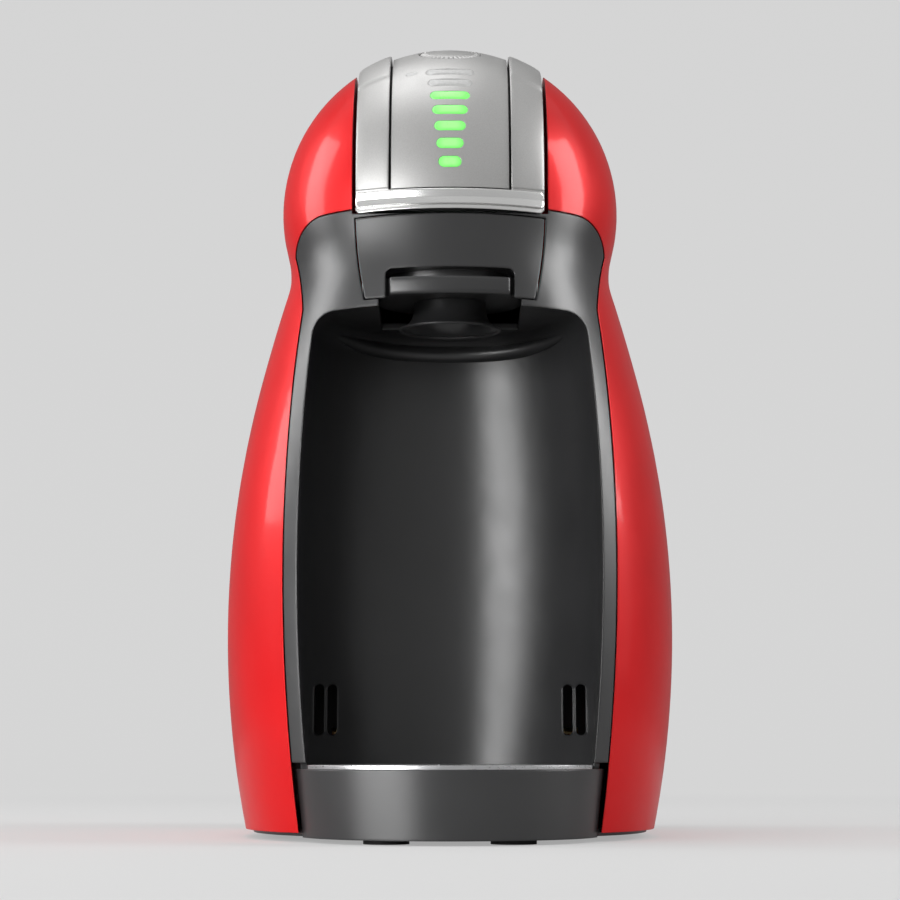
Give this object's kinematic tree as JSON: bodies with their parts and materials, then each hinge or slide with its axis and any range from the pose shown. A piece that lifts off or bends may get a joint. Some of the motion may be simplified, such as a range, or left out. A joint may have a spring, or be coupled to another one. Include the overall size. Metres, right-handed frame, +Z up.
{
  "type": "pod coffee machine",
  "caption": "Pod coffee machine with a round head, red side shells, a cup cavity over a drip tray, a lifting lock handle, a capsule drawer and a rear water tank.",
  "frame": {"origin": "on the table, under the middle of the machine's box", "axes": "+X to the machine's left-hand shell seen from behind (right in front view), +Y to the back, +Z up"},
  "size_m": [0.169, 0.25, 0.298],
  "materials": {
    "red_gloss": "high gloss moulded",
    "black_satin": "fine satin texture",
    "silver_satin": "satin metallic paint",
    "bright_lip": "bright plated",
    "lit_green": "lit light guide",
    "unlit_lens": "frosted light guide",
    "grate_steel": "brushed",
    "tank_clear": "smoky clear",
    "inner_grey": "plain moulded",
    "rubber_black": "plain",
    "pin_steel": "ground",
    "cast_aluminium": "as cast",
    "coil_dark": "lacquered",
    "pump_brass": "turned",
    "hose_clear": "milky silicone",
    "board_green": "circuit board"
  },
  "bodies": {
    "machine": {"base_frame": "black_satin", "rubber_feet": "rubber_black", "right_side_shell": "red_gloss", "left_side_shell": "red_gloss", "front_fascia": "black_satin", "rear_cover": "black_satin", "nape_cover": "black_satin", "crown_cover": "black_satin", "display_panel": "silver_satin", "lit_bars": "lit_green", "unlit_bars": "unlit_lens", "descale_lamp": "unlit_lens", "led_board": "board_green", "inner_frame": "inner_grey", "pump_coil": "coil_dark", "pump_core": "pump_brass", "pump_mounts": "rubber_black", "thermoblock": "cast_aluminium", "heater_terminals": "pin_steel", "thermostats": "pin_steel", "flow_meter": "inner_grey", "suction_hose": "hose_clear", "feed_hose": "hose_clear", "pressure_tube": "hose_clear", "delivery_tube": "hose_clear", "control_board": "board_green", "board_parts": "inner_grey", "dial_encoder": "inner_grey", "slider_switch": "inner_grey", "button_switch": "inner_grey", "tank_coupling": "inner_grey", "coupling_seal": "rubber_black", "cord_gland": "rubber_black", "base_screws": "pin_steel", "frame_screws": "pin_steel"},
    "handle": {"locking_handle": "silver_satin", "handle_lip": "bright_lip", "crank_pins": "pin_steel"},
    "injector": {"injector_carriage": "inner_grey", "injector_needle": "pin_steel", "injector_seal": "rubber_black", "guide_pins": "pin_steel"},
    "drawer": {"drawer_front": "black_satin", "drawer_grip": "black_satin", "capsule_cup": "black_satin", "splash_skirt": "black_satin"},
    "tray": {"drip_tray": "black_satin"},
    "grate": {"drip_grate": "grate_steel"},
    "tank": {"water_tank": "tank_clear", "lid_hinge_pin": "pin_steel"},
    "lid": {"tank_lid": "black_satin"},
    "valve": {"tank_valve": "inner_grey", "valve_spring": "pin_steel"},
    "dial": {"volume_dial": "silver_satin"},
    "slider": {"temperature_slider": "silver_satin"},
    "button": {"power_button": "silver_satin", "button_spring": "pin_steel"}
  },
  "joints": [
    {"name": "handle_lift", "type": "hinge", "parent": "machine", "child": "handle", "pos_m": [0, -0.038, 0.2343], "axis": [-1, 0, 0], "range_deg": [0, 60]},
    {"name": "injector_lift", "type": "slide", "parent": "machine", "child": "injector", "axis": [0, 0, 1], "range_m": [0, 0.00851], "deforming": ["delivery_tube"]},
    {"name": "drawer_slide", "type": "slide", "parent": "machine", "child": "drawer", "axis": [0, -1, 0], "range_m": [0, 0.075]},
    {"name": "tray_slide", "type": "slide", "parent": "machine", "child": "tray", "axis": [0, -1, 0], "range_m": [0, 0.11]},
    {"name": "grate_lift", "type": "slide", "parent": "tray", "child": "grate", "axis": [0, 0, 1], "range_m": [0, 0.05]},
    {"name": "tank_lift", "type": "slide", "parent": "machine", "child": "tank", "axis": [0, 0, 1], "range_m": [0, 0.18]},
    {"name": "lid_turn", "type": "hinge", "parent": "tank", "child": "lid", "pos_m": [0, 0.11283, 0.186], "axis": [-1, 0, 0], "range_deg": [0, 100]},
    {"name": "valve_lift", "type": "slide", "parent": "tank", "child": "valve", "axis": [0, 0, 1], "range_m": [0, 0.0025], "stiffness_N_per_m": 150, "springref_m": -0.003, "deforming": ["valve_spring"]},
    {"name": "dial_turn", "type": "hinge", "parent": "machine", "child": "dial", "pos_m": [0, -0.06066, 0.28769], "axis": [0, -0.3907, 0.9205], "continuous": true},
    {"name": "slider_move", "type": "slide", "parent": "machine", "child": "slider", "axis": [1, 0, 0], "range_m": [-0.005, 0.005]},
    {"name": "button_press", "type": "slide", "parent": "machine", "child": "button", "axis": [0, -0.4695, -0.8829], "range_m": [0, 0.0015], "stiffness_N_per_m": 400, "springref_m": -0.001, "deforming": ["button_spring"]}
  ],
  "couplings": [
    {"joint": "injector_lift", "follows": "handle_lift", "m_per_rad": 0.0081169}
  ]
}
